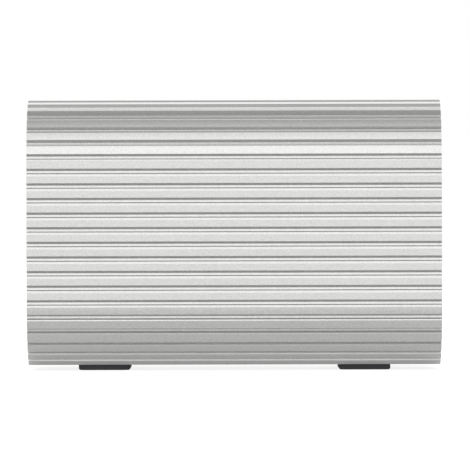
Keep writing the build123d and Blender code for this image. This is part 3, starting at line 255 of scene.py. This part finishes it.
FINISHES = {
    "anodised": surface(
        "anodised", (0.62, 0.6215, 0.6125), 0.34, 1.0, grain=0.5, bump=2.5, mottle=0.02, speckle=0.22
    ),
    "panel": surface("panel", (0.016, 0.016, 0.017), 0.46, grain=0.6, bump=22.0, speckle=0.25),
    "rubber": surface("rubber", (0.042, 0.043, 0.046), 0.75, grain=0.25, bump=4.0, speckle=0.12),
    "zinc_screw": surface("zinc_screw", (0.66, 0.66, 0.64), 0.28, 1.0, grain=0.2, bump=1.0),
    "outlet": surface("outlet", (0.030, 0.030, 0.032), 0.36, grain=0.25, bump=1.5),
    "cover": surface("cover", (0.05, 0.05, 0.05), 0.5, grain=0.3, bump=2.0),
    "brass": surface("brass", (0.78, 0.55, 0.24), 0.3, 1.0, grain=0.3, bump=1.0),
    "switch_case": surface("switch_case", (0.022, 0.022, 0.023), 0.42, grain=0.2, bump=3.0),
    "rocker": surface("rocker", (0.018, 0.018, 0.019), 0.22, grain=0.6, bump=0.5),
    "tinned": surface("tinned", (0.72, 0.72, 0.70), 0.3, 1.0, grain=0.2, bump=1.0),
    "green_lamp": surface("green_lamp", (0.08, 0.50, 0.14), 0.2, grain=1.0, bump=0.5, Transmission_Weight=0.35),
    "red_lamp": surface("red_lamp", (0.62, 0.035, 0.03), 0.2, grain=1.0, bump=0.5, Transmission_Weight=0.35),
    "laminate": surface("laminate", (0.015, 0.13, 0.045), 0.35, grain=0.5, bump=1.0),
    "fan_plastic": surface("fan_plastic", (0.020, 0.020, 0.021), 0.4, grain=0.3, bump=1.5),
    "bearing": surface("bearing", (0.55, 0.40, 0.22), 0.45, 1.0, grain=0.1, bump=2.0),
    "steel": surface("steel", (0.56, 0.56, 0.56), 0.3, 1.0, grain=0.2, bump=1.0),
    "magnet": surface("magnet", (0.09, 0.08, 0.075), 0.7, grain=0.2, bump=3.0),
    "lamination": surface("lamination", (0.40, 0.40, 0.42), 0.45, 1.0, grain=0.4, bump=5.0, stretch=(6, 1, 1)),
    "wire_guard": surface("wire_guard", (0.70, 0.70, 0.70), 0.18, 1.0, grain=0.6, bump=0.5),
    "inlet": surface("inlet", (0.028, 0.028, 0.030), 0.45, grain=0.2, bump=2.5),
    "tin_pin": surface("tin_pin", (0.76, 0.76, 0.74), 0.25, 1.0, grain=0.3, bump=0.5),
    "red_wire": surface("red_wire", (0.55, 0.025, 0.02), 0.35, grain=0.8, bump=1.0),
    "black_wire": surface("black_wire", (0.02, 0.02, 0.02), 0.35, grain=0.8, bump=1.0),
    "white_wire": surface("white_wire", (0.78, 0.78, 0.75), 0.35, grain=0.8, bump=1.0),
    "green_wire": surface("green_wire", (0.03, 0.30, 0.07), 0.35, grain=0.8, bump=1.0),
    "grey_wire": surface("grey_wire", (0.20, 0.20, 0.21), 0.35, grain=0.8, bump=1.0),
    "header": surface("header", (0.78, 0.75, 0.65), 0.45, grain=0.4, bump=1.0),
    "chip": surface("chip", (0.025, 0.025, 0.026), 0.55, grain=0.15, bump=2.0),
    "holder": surface("holder", (0.045, 0.045, 0.045), 0.5, grain=0.3, bump=1.5),
    "fuse": surface("fuse", (0.78, 0.50, 0.03), 0.2, grain=1.0, bump=0.5, Transmission_Weight=0.3),
    "sleeve": surface("sleeve", (0.03, 0.035, 0.08), 0.28, grain=0.8, bump=1.0),
    "ferrite": surface("ferrite", (0.07, 0.07, 0.075), 0.55, grain=0.3, bump=2.0),
    "bobbin": surface("bobbin", (0.05, 0.045, 0.04), 0.5, grain=0.4, bump=1.5),
    "tape": surface("tape", (0.72, 0.52, 0.06), 0.3, grain=1.2, bump=2.0),
    "copper": surface("copper", (0.60, 0.22, 0.07), 0.25, 0.8, grain=0.9, bump=12.0, stretch=(0.3, 1, 1)),
    "powder_core": surface("powder_core", (0.50, 0.46, 0.07), 0.5, grain=0.3, bump=2.0),
    "epoxy": surface("epoxy", (0.035, 0.035, 0.036), 0.5, grain=0.15, bump=2.0),
    "silicone": surface("silicone", (0.42, 0.44, 0.47), 0.6, grain=0.3, bump=1.0),
    "foam": surface("foam", (0.03, 0.03, 0.032), 0.9, grain=0.9, bump=120.0, speckle=0.7),
    "spring": surface("spring", (0.50, 0.50, 0.52), 0.3, 1.0, grain=0.2, bump=1.0, stretch=(0.2, 1, 1)),
}
for part in frame["record"]["subparts"]:
    for slot in nodes[part["node"]].material_slots:
        slot.material = FINISHES[part["material_slot"]]

# ---------------------------------------------------------------- printed symbols
# Raised pad-print ink in generic symbols. Each stroke is a ribbon laid on the surface that it prints.
INK = "white_wire"
INK_ABOVE = 0.05 * MM
INK_BELOW = 0.06 * MM
PROBE_START = 6 * MM  # how far in front of a symbol's centre the search for the surface starts
STROKE = 0.5  # a stroke's width and the lengths below are in mm
RUN_STEP = 0.4
SHARPEST_MITRE = 0.4  # the cosine below which a mitre grows no longer


def surface_tree(name):
    """A search tree of a CAD node's skin, in the scene's frame."""
    skin = nodes[name]
    corners = [skin.matrix_world @ v.co for v in skin.data.vertices]
    return BVHTree.FromPolygons(corners, [tuple(p.vertices) for p in skin.data.polygons])


def arc(radius, start, end, pieces=24):
    """Points of an arc about the symbol's centre, in degrees from its right-hand side."""
    turns = [math.radians(start + (end - start) * k / pieces) for k in range(pieces + 1)]
    return [(radius * math.cos(turn), radius * math.sin(turn)) for turn in turns]


def divided(points):
    """The same line with a point at least every RUN_STEP."""
    line = [points[0]]
    for (u0, v0), (u1, v1) in zip(points, points[1:]):
        count = max(1, math.ceil(math.hypot(u1 - u0, v1 - v0) / RUN_STEP))
        line += [(u0 + (u1 - u0) * k / count, v0 + (v1 - v0) * k / count) for k in range(1, count + 1)]
    return line


def edges_of(line, closed):
    """The left and right edges of a stroke along a line, with mitred corners."""
    sides = []
    for number, point in enumerate(line):
        before = line[number - 1] if number or closed else None
        after = line[(number + 1) % len(line)] if number + 1 < len(line) or closed else None
        runs = []
        for start, end in ((before, point), (point, after)):
            if start is not None and end is not None:
                runs.append((Vector(end) - Vector(start)).normalized())
        along = sum(runs, Vector((0.0, 0.0))).normalized()
        across = Vector((-along.y, along.x))
        reach = STROKE / 2 / max(SHARPEST_MITRE, along.dot(runs[0]))
        sides.append((Vector(point) + across * reach, Vector(point) - across * reach))
    return sides


def symbol(name, onto, body, centre, right, strokes):
    """Prints strokes on a CAD node, seen from in front of it: right is the symbol's right and Z is up.
    centre is less than PROBE_START from the surface, in front of it or behind."""
    tree = surface_tree(onto)
    right, up = Vector(right), Vector((0.0, 0.0, 1.0))
    out = right.cross(up)
    mesh = bpy.data.meshes.new(name)
    bm = bmesh.new()
    for points, closed in strokes:
        line = divided(points + points[:1])[:-1] if closed else divided(points)
        rings = []
        for left_edge, right_edge in edges_of(line, closed):
            ring = []
            for edge in (left_edge, right_edge):
                start = Vector(centre) + (right * edge[0] + up * edge[1]) * MM + out * PROBE_START
                place = tree.ray_cast(start, -out)[0]
                ring.append((place + out * INK_ABOVE, place - out * INK_BELOW))
            (left_top, left_low), (right_top, right_low) = ring
            rings.append([bm.verts.new(corner) for corner in (left_top, right_top, right_low, left_low)])
        pairs = list(zip(rings, rings[1:])) + ([(rings[-1], rings[0])] if closed else [])
        for first, second in pairs:
            for a in range(4):
                b = (a + 1) % 4
                bm.faces.new((first[a], first[b], second[b], second[a]))
        if not closed:
            bm.faces.new(rings[0])
            bm.faces.new(rings[-1])
    bmesh.ops.recalc_face_normals(bm, faces=bm.faces)
    bm.to_mesh(mesh)
    bm.free()
    mesh.materials.append(FINISHES[INK])
    printed = bpy.data.objects.new(name, mesh)
    bpy.context.collection.objects.link(printed)
    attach(printed, body)


def middle(name):
    """The middle of a CAD node's box."""
    low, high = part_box(name)
    return [(a + b) / 2 for a, b in zip(low, high)]


FRONT_X, REAR_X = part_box("front_panel")[1][0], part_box("rear_panel")[0][0]
FRONT_RIGHT, REAR_RIGHT = (0.0, 1.0, 0.0), (0.0, -1.0, 0.0)
SWITCH_MARK_RISE = 4.6 * MM
POWER_MARK_ASIDE = 6.5 * MM
PIN_MARK_DROP = 13.0 * MM
EARTH_MARK_DROP = 9.5 * MM
WAVE = [(k / 8, 0.8 * math.sin(math.pi * k / 16)) for k in range(-16, 17)]
CROSS = [([(-1.3, 0.0), (1.3, 0.0)], False), ([(0.0, 0.25), (0.0, 1.3)], False), ([(0.0, -0.25), (0.0, -1.3)], False)]
EARTH = [([(0.0, 2.0), (0.0, 0.25)], False)]
EARTH += [([(-half, -down), (half, -down)], False) for half, down in ((1.9, 0.0), (1.2, 0.9), (0.5, 1.8))]
POWER = [(arc(1.5, 130, 410), False), ([(0.0, 0.4), (0.0, 2.0)], False)]

BAR = [([(0.0, -1.3), (0.0, 1.3)], False)]
RING = [(arc(1.3, 0, 345, 23), True)]

switch, lamp, earth = middle("switch_housing"), middle("power_lamp"), middle("ground_screw")
mark_on = (FRONT_X, switch[1], switch[2] + SWITCH_MARK_RISE)
mark_off = (FRONT_X, switch[1], switch[2] - SWITCH_MARK_RISE)
mark_power = (FRONT_X, lamp[1] + POWER_MARK_ASIDE, lamp[2])
mark_mains = (FRONT_X, switch[1], middle("front_panel")[2])
mark_earth = (REAR_X, earth[1], earth[2] - EARTH_MARK_DROP)
symbol("mark_on", "switch_rocker", "switch_rocker", mark_on, FRONT_RIGHT, BAR)
symbol("mark_off", "switch_rocker", "switch_rocker", mark_off, FRONT_RIGHT, RING)
symbol("mark_power", "front_panel", "case", mark_power, FRONT_RIGHT, POWER)
symbol("mark_mains", "front_panel", "case", mark_mains, FRONT_RIGHT, [(WAVE, False)])
for pole, strokes in (("positive", CROSS), ("negative", CROSS[:1])):
    pin = middle("inlet_" + pole + "_pin")
    symbol("mark_" + pole, "rear_panel", "case", (REAR_X, pin[1], pin[2] - PIN_MARK_DROP), REAR_RIGHT, strokes)
symbol("mark_earth", "rear_panel", "case", mark_earth, REAR_RIGHT, EARTH)
